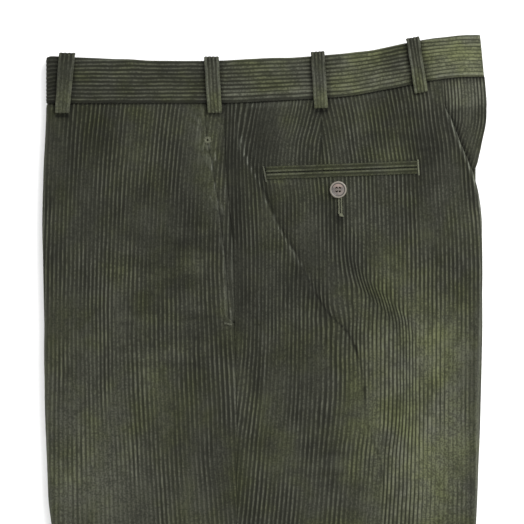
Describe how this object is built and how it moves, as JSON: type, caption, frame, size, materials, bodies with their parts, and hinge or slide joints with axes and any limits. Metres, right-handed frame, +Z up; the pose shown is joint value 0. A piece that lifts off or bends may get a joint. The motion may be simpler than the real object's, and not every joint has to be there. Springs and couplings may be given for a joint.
{
  "type": "corduroy trousers",
  "caption": "Olive wide-wale corduroy trousers folded flat crease to crease, left side up, with belt loops, a slant side pocket and a buttoned jetted back pocket.",
  "frame": {"origin": "on the surface the folded trousers lie on, under the middle of their bounding box", "axes": "+X from the front crease to the centre back, +Y from the hems to the waistband, +Z up, out of the left side"},
  "size_m": [0.396, 1.0808, 0.0221],
  "materials": {
    "corduroy": "wide-wale cotton corduroy, matt furrows and a soft sheen along the crests",
    "trim_corduroy": "the same corduroy cut along the waistband, loops and jets, slightly worn",
    "button": "horn-like brown plastic with a paler rim, satin"
  },
  "bodies": {
    "root": {"left_front": "corduroy", "left_back": "corduroy", "left_seat": "corduroy", "left_pocket_facing": "corduroy", "right_front": "corduroy", "right_back": "corduroy", "inner_layers": "corduroy", "left_waistband": "trim_corduroy", "right_waistband": "trim_corduroy", "front_belt_loop": "trim_corduroy", "side_belt_loop": "trim_corduroy", "pocket_belt_loop": "trim_corduroy", "back_belt_loop": "trim_corduroy", "upper_jet": "trim_corduroy", "lower_jet": "trim_corduroy", "back_pocket_button": "button"}
  },
  "joints": []
}
